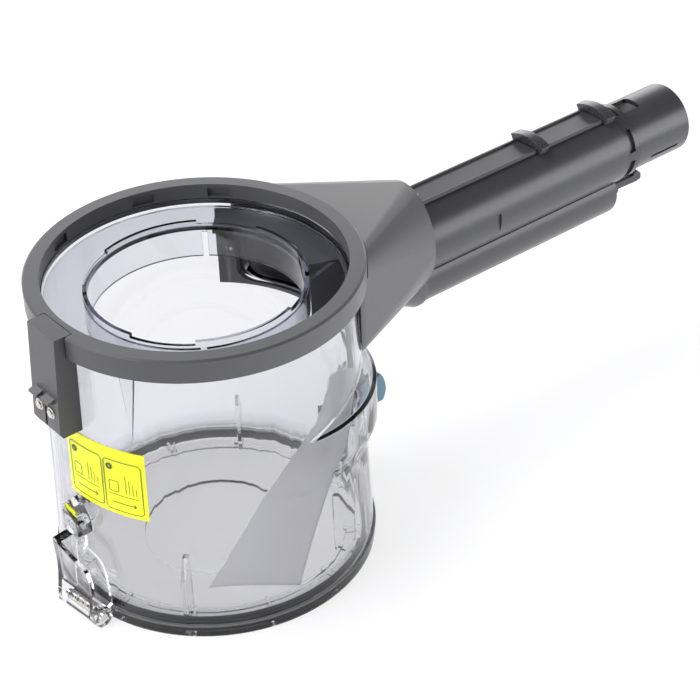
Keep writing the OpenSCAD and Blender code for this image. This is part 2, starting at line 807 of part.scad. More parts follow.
// A bar that stands out from the wall, whose outline is drawn as shares of the bracket
module hinge_bar(shares, inset) {
    along_x(-(foot_r + 2 * hinge_depth), -(foot_r - 2 * bin_draft))
        polygon([for (p = shares) [-p[0] * (hinge_w - 2 * inset), p[1] * hinge_h - inset]]);
}

module at_hinge() {
    rotate([0, 0, hinge_dir - 180])
        children();
}

module hinge_bracket() {
    color(clear_tint)
        at_hinge()
            difference() {
                union() {
                    intersection() {
                        across_y(hinge_w)
                            bracket_side(0);
                        hinge_bar(hood_shares, 0);
                    }
                    for (y = [-1, 1])
                        translate([0, y * (hinge_w / 2 - ear_t), 0])
                            rod_y(2 * ear_t, boss_r, hinge_x, hinge_z);
                    // Small bridge above the bracket and the rib under it
                    intersection() {
                        across_y(hinge_w)
                            translate([-(foot_r + hinge_depth * 0.7), hinge_h])
                                square([hinge_depth * 0.7 + bin_draft, hinge_h]);
                        hinge_bar(bridge_shares, 0);
                    }
                    translate([-(foot_r + bracket_t), hinge_w * 0.14 - bracket_t, hinge_h * 0.8])
                        cube([bin_draft, 2 * bracket_t, hinge_h * 0.45]);
                }
                wall_space(seat_gap, shell_foot - cut_over, bin_h);
                translate([0, 0, -cut_over])
                    cylinder(h = shell_foot + bead_h + face_gap + cut_over, r = bead_r + seat_gap,
                        $fn = big_fn);
                // Hollow of the bracket, open at its foot
                difference() {
                    intersection() {
                        across_y(hinge_w)
                            translate([-(foot_r + hinge_depth + boss_r), -hinge_h])
                                square([hinge_depth + 2 * boss_r, 2 * hinge_h]);
                        hinge_bar(hood_shares, ear_t);
                    }
                    intersection() {
                        across_y(hinge_w)
                            polygon(concat(
                                [for (p = bend_line(bracket_out, 14)) [-(foot_r + p[0] - hood_gap), p[1]]],
                                [[hinge_x - 4 * boss_r, hinge_z], [hinge_x - 4 * boss_r, hinge_h]]));
                        translate([-2 * bin_r, -hinge_w, hood_low])
                            cube([2 * bin_r, 2 * hinge_w, hinge_h]);
                    }
                }
                across_y(hinge_w)
                    translate([-(foot_r + hinge_depth * 0.7 - bracket_t), hinge_h * 1.3])
                        square([hinge_depth * 0.35, hinge_h * 0.1]);
                rod_y(hinge_w * 2, hinge_pin_r + run_gap / 2, hinge_x, hinge_z);
            }
}

module hinge_pin() {
    color(steel_grey)
        at_hinge()
            rod_y(hinge_w, hinge_pin_r, hinge_x, hinge_z);
}

module lid() {
    color(clear_tint)
        difference() {
            union() {
                cylinder(h = floor_t, r = plug_r, $fn = big_fn);
                cylinder(h = flange_t, r = flange_r, $fn = big_fn);
                difference() {
                    cylinder(h = flange_t + plug_h, r = plug_r, $fn = big_fn);
                    translate([0, 0, floor_t])
                        cylinder(h = flange_t + plug_h, r = plug_r - plug_wall, $fn = big_fn);
                }
                difference() {
                    cylinder(h = floor_t + web_h / 2, r = rib_ring_r + plug_wall, $fn = big_fn);
                    translate([0, 0, floor_t])
                        cylinder(h = floor_t + web_h, r = rib_ring_r, $fn = big_fn);
                }
                for (i = [0 : web_count - 1])
                    rotate([0, 0, (i + 0.5) * 360 / web_count])
                        translate([rib_ring_r + plug_wall / 2, -fin_t / 4, 0])
                            cube([plug_r - plug_wall - rib_ring_r, fin_t / 2, floor_t + web_h]);
                for (d = fin_dirs)
                    rotate([0, 0, d])
                        across_y(fin_t)
                            polygon([[fin_r - fin_len, 0], [fin_r, 0],
                                [fin_r, floor_t + fin_h - fin_chamfer],
                                [fin_r - fin_chamfer * 0.75, floor_t + fin_h],
                                [fin_r - fin_len, floor_t + fin_h]]);
                at_hinge() {
                    rod_y(knuckle_w, knuckle_r, hinge_x, hinge_z);
                    translate([hinge_x, -knuckle_w / 2, hinge_z - knuckle_r])
                        cube([-hinge_x - plug_r, knuckle_w, flange_t - hinge_z + knuckle_r]);
                }
                difference() {
                    translate([foot_r - bin_wall, -catch_w / 2, 0])
                        cube([flange_r + catch_out - foot_r + bin_wall, catch_w,
                            flange_t + face_gap + catch_t]);
                    translate([0, 0, flange_t])
                        cylinder(h = bin_h, r = bead_r + seat_gap, $fn = big_fn);
                    translate([flange_r, -catch_w, -cut_over])
                        cube([flange_r, 2 * catch_w, flange_t / 2 + cut_over]);
                }
            }
            translate([0, 0, floor_t - disc_depth])
                cylinder(h = disc_depth + cut_over, r = disc_r, $fn = big_fn);
            at_hinge()
                rod_y(hinge_w, hinge_pin_r + run_gap, hinge_x, hinge_z);
        }
}

module lid_seal() {
    color(seal_grey)
        rotate_extrude($fn = big_fn)
            polygon([[plug_r + run_gap, flange_t + face_gap], [plug_r + plug_wall / 2, flange_t + face_gap],
                [plug_r + plug_wall / 2, seal_z], [seal_r, seal_z + seal_h / 2],
                [plug_r + plug_wall / 2, seal_z + seal_h], [plug_r + run_gap, seal_z + seal_h]]);
}

module latch_bracket() {
    color(clear_tint)
        difference() {
            for (y = [-1, 1])
                translate([0, y * (latch_w / 2 + face_gap + latch_ear_t / 2), 0]) {
                    rod_y(latch_ear_t, latch_boss_r, latch_x, latch_z);
                    across_y(latch_ear_t)
                        polygon([[foot_r - bin_draft, latch_z - latch_boss_r * 1.6],
                            [latch_x, latch_z - latch_boss_r], [latch_x, latch_z + latch_boss_r],
                            [foot_r - bin_draft, latch_z + latch_boss_r * 1.6]]);
                }
            wall_space(seat_gap, shell_foot, bin_h);
            rod_y(latch_w * 3, latch_pin_r + run_gap / 2, latch_x, latch_z);
        }
}

module latch_rocker() {
    color(mid_grey)
        difference() {
            across_y(latch_w) {
                translate([latch_x, latch_z])
                    circle(r = latch_boss_r, $fn = small_fn);
                // One bar from the hook up to the button
                polygon([[latch_x - latch_boss_r * 0.4, button_low + button_h * 0.8],
                    [latch_x - latch_boss_r * 0.7, latch_z],
                    [toe_x + toe_h * 0.6, flange_t + catch_t + toe_h],
                    [toe_x + toe_h * 0.6, flange_t - face_gap], [toe_x, toe_z + toe_h],
                    [toe_x, toe_z], [toe_x + toe_h * 2, toe_z],
                    [toe_x + toe_h * 2.6, flange_t + catch_t + toe_h],
                    [latch_x + latch_boss_r * 0.7, latch_z], [button_x, button_low - face_gap],
                    [button_x, button_low + button_h * 0.8]]);
            }
            rod_y(latch_w * 3, latch_pin_r + run_gap, latch_x, latch_z);
        }
}

module release_button() {
    color(teal)
        across_y(button_w)
            polygon([[button_x, button_low], [button_x + button_out * 0.8, button_low],
                for (p = bend_line([[button_out * 0.8, 0], [button_out * 1.08, button_h * 0.3],
                        [button_out * 1.0, button_h * 0.7], [button_out * 0.72, button_h]], 8))
                    [button_x + p[0], button_low + p[1]],
                [button_x, button_low + button_h]]);
}

module latch_pin() {
    color(steel_grey)
        rod_y(latch_w + 2 * latch_ear_t + 2 * face_gap, latch_pin_r, latch_x, latch_z);
}

module wall_label() {
    low = label_top - label_h;
    color(label_yellow)
        sector(label_from, label_from + label_turn)
            polygon([[wall_r(low) + run_gap, low], [wall_r(low) + run_gap + label_t, low],
                [wall_r(label_top) + run_gap + label_t, label_top],
                [wall_r(label_top) + run_gap, label_top]]);
}

bin_shell();
separator_seat();
top_ring();
contact_housing();
contact_pins();
inlet_cone();
inlet_frame();
swirl_ramp();
suction_tube();
tube_collar();
rail_strip();
rail_clips();
rail_screw();
cable_channel();
release_tab();
hinge_bracket();
hinge_pin();
lid();
lid_seal();
latch_bracket();
latch_rocker();
release_button();
latch_pin();
wall_label();
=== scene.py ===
"""Clear cyclone dust bin: finishes, rounded edges, label print and a plain studio stage."""
import json
import math

import bmesh
import bpy
from mathutils import Matrix, Vector


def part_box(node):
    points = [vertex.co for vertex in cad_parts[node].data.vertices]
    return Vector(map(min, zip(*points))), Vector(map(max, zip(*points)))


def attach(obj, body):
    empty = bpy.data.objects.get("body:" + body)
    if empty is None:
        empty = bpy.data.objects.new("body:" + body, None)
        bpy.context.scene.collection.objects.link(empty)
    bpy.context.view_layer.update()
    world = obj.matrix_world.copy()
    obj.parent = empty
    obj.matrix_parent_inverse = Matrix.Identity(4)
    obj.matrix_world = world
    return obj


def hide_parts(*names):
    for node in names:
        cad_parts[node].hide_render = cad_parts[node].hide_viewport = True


bl_info = {
    "name": "Cyclone Dust Bin",
    "version": (1, 0, 0),
    "blender": (4, 5, 0),
    "location": "View3D > Sidebar > Dust Bin",
    "description": "Dresses a packed cyclone dust bin with its plastics, label and stage",
    "category": "Object",
}

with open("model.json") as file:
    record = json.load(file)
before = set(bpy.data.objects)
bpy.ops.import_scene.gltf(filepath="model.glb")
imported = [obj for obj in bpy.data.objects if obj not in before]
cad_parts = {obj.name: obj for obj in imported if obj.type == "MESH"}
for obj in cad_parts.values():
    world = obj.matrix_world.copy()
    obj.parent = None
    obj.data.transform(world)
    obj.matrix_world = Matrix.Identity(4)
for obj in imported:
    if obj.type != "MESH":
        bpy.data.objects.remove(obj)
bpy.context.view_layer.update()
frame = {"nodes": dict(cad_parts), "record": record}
NODES = frame["nodes"]
BODY_OF = {n: b for b, members in frame["record"]["behaviour"]["bodies"].items() for n in members}

MM = 0.001


# Sizes and colours that a user would change

def length_choice(name, description, default, low, high):
    """A length, given in millimetres."""
    return bpy.props.FloatProperty(
        name=name, description=description, default=default * MM, min=low * MM, max=high * MM,
        unit="LENGTH")


def colour_choice(name, description, red, green, blue):
    """A colour, given in linear light."""
    return bpy.props.FloatVectorProperty(
        name=name, description=description, subtype="COLOR", size=4,
        default=(red, green, blue, 1.0), min=0.0, max=1.0)


class BinSizes(bpy.types.PropertyGroup):
    edge_round: length_choice(
        "Edge round", "Radius on the outer edges of the grey mouldings", 0.45, 0.1, 1.0)
    clear_round: length_choice(
        "Clear edge round", "Radius on the edges of the clear mouldings", 0.35, 0.1, 0.8)
    print_height: length_choice(
        "Print height", "How far the ink stands over the label film", 0.04, 0.02, 0.1)
    ramp_fold: length_choice(
        "Ramp fold", "Depth of the fold in the swirl ramp's upper half", 7.5, 0.0, 10.0)
    line_width: length_choice(
        "Line width", "Width of the printed frame lines", 0.32, 0.1, 1.0)


class BinFinish(bpy.types.PropertyGroup):
    ring_grey: colour_choice("Ring grey", "Colour of the top ring", 0.068, 0.068, 0.072)
    tube_grey: colour_choice(
        "Tube grey", "Colour of the tube, its rail and its channel", 0.038, 0.038, 0.041)
    cone_grey: colour_choice(
        "Cone grey", "Colour of the cone and contact housing", 0.062, 0.062, 0.065)
    seal_black: colour_choice(
        "Seal black", "Colour of seals and dark frames", 0.030, 0.030, 0.036)
    inner_grey: colour_choice(
        "Inner grey", "Colour of the frame inside the inlet", 0.105, 0.105, 0.115)
    clear_tint: colour_choice("Clear tint", "Tint that thick clear plastic takes", 0.50, 0.50, 0.60)
    clear_depth: bpy.props.FloatProperty(
        name="Clear depth", description="How fast clear plastic darkens with its thickness",
        default=106.0, min=0.0, max=400.0)
    label_yellow: colour_choice("Label yellow", "Colour of the label film", 0.86, 0.93, 0.02)
    ink_grey: colour_choice("Ink", "Colour of the label print", 0.07, 0.08, 0.05)
    button_teal: colour_choice("Button teal", "Colour of the release button", 0.060, 0.130, 0.170)
    steel: colour_choice("Steel", "Colour of pins, screw and contacts", 0.62, 0.61, 0.56)


# Finishes

CLEAR_WHITE = (0.985, 0.985, 0.99, 1.0)
MILKY_WHITE = (0.97, 0.97, 0.985, 1.0)
SEAT_DARKER = 1.8    # the thick seat and latch bracket darken faster than the thin drum wall
LID_LIGHTER = 0.1    # the lid and hinge bracket hardly darken

# The drum's painted shade from its foot up: its tint is painted darker toward the foot, standing in
# for the shade and the dark seal seen in the wall there: millimetres and colour
DRUM_FOOT_SHADE = (
    (0.0, (0.14, 0.14, 0.15, 1.0)),
    (3.0, (0.46, 0.46, 0.48, 1.0)),
    (8.0, (0.86, 0.86, 0.88, 1.0)),
    (14.0, CLEAR_WHITE),
)


def toned(colour, factor):
    """A lighter or darker shade of a colour."""
    return (colour[0] * factor, colour[1] * factor, colour[2] * factor, 1.0)


def colour_ramp(nodes, links, value, stops, interpolation="LINEAR"):
    """A colour picked by a value from stops, which are (position, colour) from low to high."""
    ramp = nodes.new("ShaderNodeValToRGB")
    ramp.color_ramp.interpolation = interpolation
    for i, (position, colour) in enumerate(stops):
        elements = ramp.color_ramp.elements
        stop = elements[i] if i < 2 else elements.new(position)
        stop.position = position
        stop.color = colour
    links.new(value, ramp.inputs["Fac"])
    return ramp.outputs["Color"]


class Finish:
    """A new node material with its Principled shader, driven by the object's own coordinates."""

    def __init__(self, name):
        self.material = bpy.data.materials.new(name)
        self.material.use_nodes = True
        self.nodes, self.links = self.material.node_tree.nodes, self.material.node_tree.links
        self.shader = self.nodes["Principled BSDF"]
        self.place = self.nodes.new("ShaderNodeTexCoord").outputs["Object"]

    def speckle(self, scale, detail=3.0, stretch=(1.0, 1.0, 1.0)):
        """Noise on the object's coordinates, stretched along an axis where a finish is drawn."""
        turn = self.nodes.new("ShaderNodeMapping")
        turn.inputs["Scale"].default_value = stretch
        self.links.new(self.place, turn.inputs["Vector"])
        noise = self.nodes.new("ShaderNodeTexNoise")
        noise.inputs["Scale"].default_value = scale
        noise.inputs["Detail"].default_value = detail
        self.links.new(turn.outputs["Vector"], noise.inputs["Vector"])
        return noise.outputs["Fac"]

    def span(self, value, low, high, from_low=0.3, from_high=0.7):
        """Maps a value's middle range onto low to high."""
        fit = self.nodes.new("ShaderNodeMapRange")
        fit.inputs["From Min"].default_value = from_low
        fit.inputs["From Max"].default_value = from_high
        fit.inputs["To Min"].default_value = low
        fit.inputs["To Max"].default_value = high
        self.links.new(value, fit.inputs["Value"])
        return fit.outputs["Result"]

    def shade(self, value, colour, dark, light):
        """Lets the colour drift between a darker and a lighter shade of itself."""
        stops = ((0.3, toned(colour, dark)), (0.7, toned(colour, light)))
        self.links.new(colour_ramp(self.nodes, self.links, value, stops),
                       self.shader.inputs["Base Color"])

    def height_band(self, steps):
        """Lets the colour change with height: steps are (height, colour) from low to high."""
        split = self.nodes.new("ShaderNodeSeparateXYZ")
        self.links.new(self.place, split.inputs["Vector"])
        low, high = steps[0][0], steps[-1][0]
        share = self.span(split.outputs["Z"], 0.0, 1.0, low, high)
        stops = [((height - low) / (high - low), colour) for height, colour in steps]
        self.links.new(colour_ramp(self.nodes, self.links, share, stops, "EASE"),
                       self.shader.inputs["Base Color"])

    def roughen(self, value, low, high):
        """Lets the roughness vary between two levels."""
        self.links.new(self.span(value, low, high), self.shader.inputs["Roughness"])

    def relief(self, value, strength, distance):
        """Lets the surface rise and fall a little."""
        bump = self.nodes.new("ShaderNodeBump")
        bump.inputs["Strength"].default_value = strength
        bump.inputs["Distance"].default_value = distance
        self.links.new(value, bump.inputs["Height"])
        self.links.new(bump.outputs["Normal"], self.shader.inputs["Normal"])


def satin_plastic(name, colour, rough):
    """Moulded plastic with a fine grain, slow colour drift and hazy patches in its gloss."""
    finish = Finish(name)
    finish.shade(finish.speckle(scale=14.0, detail=2.0), colour, dark=0.97, light=1.03)
    finish.roughen(finish.speckle(scale=700.0), rough - 0.02, rough + 0.02)
    finish.relief(finish.speckle(scale=2600.0, detail=2.0), strength=0.06, distance=0.04 * MM)
    finish.shader.inputs["Specular IOR Level"].default_value = 0.5
    finish.shader.inputs["IOR"].default_value = 1.5
    return finish.material


def clear_plastic(name, tint, depth, rough, foot=None):
    """Smoky clear moulding: refracts, and darkens with the way that light goes inside it."""
    finish = Finish(name)
    finish.shader.inputs["Base Color"].default_value = CLEAR_WHITE
    # painted shade: a tint that darkens the drum wall toward its foot
    if foot:
        finish.height_band(foot)
    finish.shader.inputs["Transmission Weight"].default_value = 1.0
    finish.shader.inputs["IOR"].default_value = 1.47
    finish.roughen(finish.speckle(scale=60.0), rough * 0.5, rough * 1.8)
    inside = finish.nodes.new("ShaderNodeVolumeAbsorption")
    inside.inputs["Color"].default_value = tint
    inside.inputs["Density"].default_value = depth
    finish.links.new(inside.outputs["Volume"], finish.nodes["Material Output"].inputs["Volume"])
    return finish.material


def milky_plastic(name, colour):
    """Cloudy clear moulding of the swirl ramp, with painted shade that makes it a little darker
    toward its top.
    """
    finish = Finish(name)
    low, high = (corner[2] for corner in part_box("swirl_ramp"))
    # painted shade: the colour steps darker toward the ramp's top
    finish.height_band([(low, colour), (low + (high - low) * 0.45, toned(colour, 0.98)),
                        (high, toned(colour, 0.90))])
    finish.shader.inputs["Transmission Weight"].default_value = 0.66
    finish.shader.inputs["IOR"].default_value = 1.20
    finish.roughen(finish.speckle(scale=90.0), 0.40, 0.50)
    return finish.material


def drawn_steel(name, colour):
    """Pressed steel with fine drawn lines."""
    finish = Finish(name)
    lines = finish.speckle(scale=900.0, detail=2.0, stretch=(0.08, 1.0, 1.0))
    finish.shade(lines, colour, dark=0.85, light=1.1)
    finish.roughen(lines, 0.22, 0.38)
    finish.shader.inputs["Metallic"].default_value = 1.0
    finish.relief(lines, strength=0.1, distance=0.03 * MM)
    return finish.material


def rubber(name, colour):
    """Dull soft seal."""
    finish = Finish(name)
    bloom = finish.speckle(scale=220.0)
    finish.shade(bloom, colour, dark=0.85, light=1.25)
    finish.roughen(bloom, 0.55, 0.72)
    finish.relief(finish.speckle(scale=1800.0), strength=0.08, distance=0.03 * MM)
    return finish.material


def printed_film(name, colour, rough):
    """Thin glossy film or ink with a faint print screen."""
    finish = Finish(name)
    screen = finish.speckle(scale=900.0, detail=1.0)
    finish.shade(screen, colour, dark=0.96, light=1.03)
    finish.roughen(screen, rough - 0.05, rough + 0.06)
    finish.relief(finish.speckle(scale=120.0, detail=2.0), strength=0.06, distance=0.2 * MM)
    return finish.material


def drum_foot_shade():
    """The drum's painted shade at its heights in the frame."""
    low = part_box("bin_shell")[0][2]
    return [(low + height * MM, colour) for height, colour in DRUM_FOOT_SHADE]


FINISHES = {}


def finish_for(kind):
    """Each finish is made once and shared by the pieces of that plastic."""
    if kind not in FINISHES:
        look = bpy.context.scene.bin_finish
        tint, depth = tuple(look.clear_tint), look.clear_depth
        makers = {
            "ring": lambda: satin_plastic("ring_satin", look.ring_grey, rough=0.36),
            "tube": lambda: satin_plastic("tube_satin", look.tube_grey, rough=0.30),
            "cone": lambda: satin_plastic("cone_satin", look.cone_grey, rough=0.34),
            "housing": lambda: satin_plastic("housing_satin", look.cone_grey, rough=0.38),
            "inner": lambda: satin_plastic("inlet_satin", look.inner_grey, rough=0.35),
            "frame": lambda: satin_plastic("frame_satin", look.seal_black, rough=0.28),
            "teal": lambda: satin_plastic("button_teal", look.button_teal, rough=0.3),
            "seal": lambda: rubber("seal_rubber", look.seal_black),
            "clear": lambda: clear_plastic("smoky_clear", tint, depth * SEAT_DARKER, rough=0.02),
            "drum": lambda: clear_plastic(
                "drum_clear", tint, depth, rough=0.02, foot=drum_foot_shade()),
            "lid": lambda: clear_plastic("lid_clear", tint, depth * LID_LIGHTER, rough=0.05),
            "milky": lambda: milky_plastic("ramp_milky", MILKY_WHITE),
            "steel": lambda: drawn_steel("drawn_steel", look.steel),
            "label": lambda: printed_film("label_film", look.label_yellow, rough=0.32),
            "ink": lambda: printed_film("label_ink", look.ink_grey, rough=0.4),
        }
        FINISHES[kind] = makers[kind]()
    return FINISHES[kind]


# Pieces

WELD_REACH = 0.002 * MM    # corners nearer than this are one
FLAT_TURN = 0.6            # degrees between faces that are one flat face
HARD_TURN = 34.0           # degrees between faces whose edge gets rounded
SMOOTH_TURN = 32.0         # degrees between faces that shade as one

FOLD_MIDDLE = 0.5          # the fold's line, as a share of the ramp's width
FOLD_REACH = 0.42          # from that line to where the sheet is level again
FOLD_FOOT = 0.50           # where the fold starts, as a share of the ramp's height
FOLD_FADE = 0.12           # the share in which it reaches its full depth


def settle(piece, kind, body, smooth=SMOOTH_TURN):
    """Gives a piece its finish, its smooth shading and the body that it moves with."""
    piece.data.materials.clear()
    piece.data.materials.append(finish_for(kind))
    for face in piece.data.polygons:
        face.use_smooth = True
    piece.data.set_sharp_from_angle(angle=math.radians(smooth))
    even = piece.modifiers.new("even_gloss", "WEIGHTED_NORMAL")
    even.mode = "FACE_AREA"
    even.weight = 100
    even.keep_sharp = True
    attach(piece, body)
    return piece


def piece_from(name, mesh_source):
    """An object at the origin from a finished bmesh."""
    mesh = bpy.data.meshes.new(name)
    mesh_source.to_mesh(mesh)
    mesh_source.free()
    piece = bpy.data.objects.new(name, mesh)
    bpy.context.scene.collection.objects.link(piece)
    return piece


def welded(node):
    """A node's mesh with its loose triangles joined."""
    form = bmesh.new()
    form.from_mesh(NODES[node].data)
    bmesh.ops.remove_doubles(form, verts=form.verts, dist=WELD_REACH)
    return form


def merged_copy(node):
    """A node's welded mesh with its flat faces made whole."""
    form = welded(node)
    bmesh.ops.dissolve_limit(form, angle_limit=math.radians(FLAT_TURN), verts=form.verts,
                             edges=form.edges)
    return form


def folded_ramp(depth):
    """The ramp's sheet with the fold along its upper half, which fades out downwards."""
    form = welded("swirl_ramp")
    low, high = (corner[2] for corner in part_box("swirl_ramp"))
    reach = [math.hypot(v.co.x, v.co.y) for v in form.verts]
    inner, outer = min(reach), max(reach)
    for vert in form.verts:
        share = (math.hypot(vert.co.x, vert.co.y) - inner) / (outer - inner)
        valley = 1.0 - min(1.0, abs(share - FOLD_MIDDLE) / FOLD_REACH)
        rise = (vert.co.z - low) / (high - low)
        fade = min(1.0, max(0.0, (rise - FOLD_FOOT) / FOLD_FADE))
        vert.co.z -= depth * valley * fade * fade * (3.0 - 2.0 * fade)
    return form


def rounded(name, node, kind, radius, segments=2, sharp=HARD_TURN, smooth=SMOOTH_TURN, form=None):
    """A node's form with its hard edges rounded, standing for that node."""
    form = form or merged_copy(node)
    hard = [e for e in form.edges
            if len(e.link_faces) == 2 and e.calc_face_angle() > math.radians(sharp)]
    if radius > 0:
        bmesh.ops.bevel(form, geom=hard, offset=radius, offset_type="OFFSET", segments=segments,
                        profile=0.5, affect="EDGES", clamp_overlap=True, material=-1)
    piece = settle(piece_from(name, form), kind, BODY_OF[node], smooth)
    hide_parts(node)
    return piece


# Operators: one for each piece or group of like pieces

class BIN_OT_drum(bpy.types.Operator):
    """Make the clear drum wall and the separator's seat"""
    bl_idname = "bin.drum"
    bl_label = "Clear Drum"

    def execute(self, context):
        size = context.scene.bin_sizes
        rounded("drum_wall", "bin_shell", "drum", size.clear_round)
        rounded("seat_collar", "separator_seat", "clear", size.clear_round)
        return {"FINISHED"}


class BIN_OT_ring(bpy.types.Operator):
    """Make the grey top ring and the contact housing with its two contacts"""
    bl_idname = "bin.ring"
    bl_label = "Ring and Housing"

    def execute(self, context):
        size = context.scene.bin_sizes
        rounded("lock_ring", "top_ring", "ring", size.edge_round)
        rounded("housing_body", "contact_housing", "housing", size.edge_round)
        rounded("contact_pads", "contact_pins", "steel", size.edge_round / 3)
        return {"FINISHED"}


class BIN_OT_inlet(bpy.types.Operator):
    """Make the inlet cone, its dark inner frame and the swirl ramp"""
    bl_idname = "bin.inlet"
    bl_label = "Inlet"

    def execute(self, context):
        size = context.scene.bin_sizes
        rounded("cone_body", "inlet_cone", "cone", size.edge_round, smooth=38.0)
        rounded("inlet_surround", "inlet_frame", "inner", size.edge_round / 3)
        rounded("ramp_sheet", "swirl_ramp", "milky", size.clear_round / 2, sharp=50.0,
                form=folded_ramp(size.ramp_fold))
        return {"FINISHED"}


class BIN_OT_tube(bpy.types.Operator):
    """Make the suction tube with its rail, clips, channel, collar and release tab"""
    bl_idname = "bin.tube"
    bl_label = "Suction Tube"

    def execute(self, context):
        size = context.scene.bin_sizes
        rounded("tube_body", "suction_tube", "tube", size.edge_round)
        rounded("rail_body", "rail_strip", "tube", size.edge_round / 2)
        rounded("clip_arches", "rail_clips", "frame", size.edge_round)
        rounded("channel_body", "cable_channel", "tube", size.edge_round)
        rounded("collar_band", "tube_collar", "frame", size.edge_round / 3)
        rounded("tab_lever", "release_tab", "frame", size.edge_round)
        rounded("screw_head", "rail_screw", "steel", size.edge_round / 3)
        return {"FINISHED"}


class BIN_OT_lid(bpy.types.Operator):
    """Make the hinged clear lid, its seal and the hinge"""
    bl_idname = "bin.lid"
    bl_label = "Lid and Hinge"

    def execute(self, context):
        size = context.scene.bin_sizes
        rounded("lid_plate", "lid", "lid", size.clear_round)
        rounded("lid_gasket", "lid_seal", "seal", size.clear_round / 2)
        rounded("hinge_shroud", "hinge_bracket", "lid", size.clear_round)
        rounded("hinge_rod", "hinge_pin", "steel", size.edge_round / 2)
        return {"FINISHED"}


class BIN_OT_latch(bpy.types.Operator):
    """Make the latch rocker with its button, bracket and pin"""
    bl_idname = "bin.latch"
    bl_label = "Latch"

    def execute(self, context):
        size = context.scene.bin_sizes
        rounded("latch_ears", "latch_bracket", "clear", size.clear_round)
        rounded("latch_lever", "latch_rocker", "housing", size.edge_round)
        rounded("button_cap", "release_button", "teal", size.edge_round * 2, segments=3)
        rounded("latch_rod", "latch_pin", "steel", size.edge_round / 2)
        return {"FINISHED"}


class BIN_OT_label(bpy.types.Operator):
    """Make the label's film and its printed frames and line figures"""
    bl_idname = "bin.label"
    bl_label = "Label"

    def execute(self, context):
        size = context.scene.bin_sizes
        rounded("label_film", "wall_label", "label", 0.0)
        width, height, wrap = label_wrap()
        form = bmesh.new()
        for left, right, low, top in PRINT_FRAMES:
            print_frame(form, left * width, low * height, (right - left) * width,
                        (top - low) * height, size.line_width)
        lifted = bmesh.ops.extrude_face_region(form, geom=list(form.faces))
        raised = [v for v in lifted["geom"] if isinstance(v, bmesh.types.BMVert)]
        bmesh.ops.translate(form, verts=raised, vec=(0, 0, size.print_height))
        bmesh.ops.recalc_face_normals(form, faces=form.faces)
        for vert in form.verts:
            vert.co = wrap(vert.co)
        settle(piece_from("label_print", form), "ink", BODY_OF["wall_label"])
        return {"FINISHED"}


# Label print: left, right, low and top edges of its frames, as shares of the film
PRINT_FRAMES = ((0.05, 0.50, 0.07, 0.83), (0.53, 0.955, 0.06, 0.83))
PRINT_STEP = 0.8 * MM      # longest straight run, short enough to follow the wall
FIGURE_FOOT = 0.38         # where the panel and the uprights stand, as a share of a frame
BASE_LINE = 0.32
ARROW_LINE = 0.16
THIN_LINE = 0.7            # of the frame's line width
RULED_LINE = 0.6


def label_wrap():
    """Width and height of the label's film, and a map from flat print to its curved face."""
    film = NODES["wall_label"].data.vertices
    low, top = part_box("wall_label")[0][2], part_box("wall_label")[1][2]
    turns = [math.atan2(v.co.y, v.co.x) % math.tau for v in film]
    first, last = min(turns), max(turns)
    foot = max(math.hypot(v.co.x, v.co.y) for v in film if v.co.z < (low + top) / 2)
    head = max(math.hypot(v.co.x, v.co.y) for v in film if v.co.z > (low + top) / 2)
    middle = (foot + head) / 2

    def wrap(flat):
        share = flat[1] / (top - low)
        radius = foot + (head - foot) * share + flat[2]
        turn = first + flat[0] / middle
        return Vector((radius * math.cos(turn), radius * math.sin(turn), low + flat[1]))

    return (last - first) * middle, top - low, wrap


def print_frame(form, left, low, across, tall, line):
    """A frame with its disc, its panel, ruled uprights over a base line and a straight arrow."""
    stroke(form, rounded_loop(left, low, across, tall, 1.6 * MM), line, closed=True)
    disc(form, left + 2.6 * MM, low + tall - 3.2 * MM, radius=1.45 * MM, hole=0.55 * MM)
    foot = low + tall * FIGURE_FOOT
    panel = rounded_loop(left + 2.0 * MM, foot, 4.2 * MM, 4.8 * MM, 0.7 * MM)
    stroke(form, panel, line * THIN_LINE, closed=True)
    for k in range(4):
        x = left + across * (0.58 + 0.09 * k)
        stroke(form, [(x, foot), (x, low + tall * (0.74 - 0.07 * k))], line * RULED_LINE)
    base = low + tall * BASE_LINE
    stroke(form, [(left + 1.6 * MM, base), (left + across * 0.9, base)], line * RULED_LINE)
    tip_x, tip_y = left + across * 0.82, low + tall * ARROW_LINE
    barb_x, barb_rise = tip_x - 1.1 * MM, 0.9 * MM
    stroke(form, [(left + across * 0.18, tip_y), (tip_x, tip_y)], line)
    stroke(form, [(barb_x, tip_y + barb_rise), (tip_x, tip_y), (barb_x, tip_y - barb_rise)], line)


def rounded_loop(x, y, across, tall, radius, steps=5):
    """A rounded frame as a closed line, from its low left corner."""
    left, right = x + radius, x + across - radius
    low, high = y + radius, y + tall - radius
    line = []
    for cx, cy, start in ((right, low, -90), (right, high, 0), (left, high, 90), (left, low, 180)):
        for k in range(steps + 1):
            a = math.radians(start + 90 * k / steps)
            line.append((cx + radius * math.cos(a), cy + radius * math.sin(a)))
    return line


def stroke(form, line, width, closed=False):
    """A flat printed line of one width, cut short enough to follow the wall."""
    fine = []
    ends = line + line[:1] if closed else line
    for a, b in zip(ends, ends[1:]):
        parts = max(1, round(math.dist(a, b) / PRINT_STEP))
        fine += [(a[0] + (b[0] - a[0]) * k / parts, a[1] + (b[1] - a[1]) * k / parts)
                 for k in range(parts)]
    if not closed:
        fine.append(ends[-1])
    sides, count = [], len(fine)
    for k, (x, y) in enumerate(fine):
        before = fine[(k - 1) % count] if closed or k else fine[k]
        after = fine[(k + 1) % count] if closed or k < count - 1 else fine[k]
        dx, dy = after[0] - before[0], after[1] - before[1]
        reach = width / 2 / math.hypot(dx, dy)
        sides.append((form.verts.new((x - dy * reach, y + dx * reach, 0.0)),
                      form.verts.new((x + dy * reach, y - dx * reach, 0.0))))
    follow = sides[1:] + sides[:1] if closed else sides[1:]
    for (a, b), (c, d) in zip(sides, follow):
        form.faces.new((a, b, d, c))


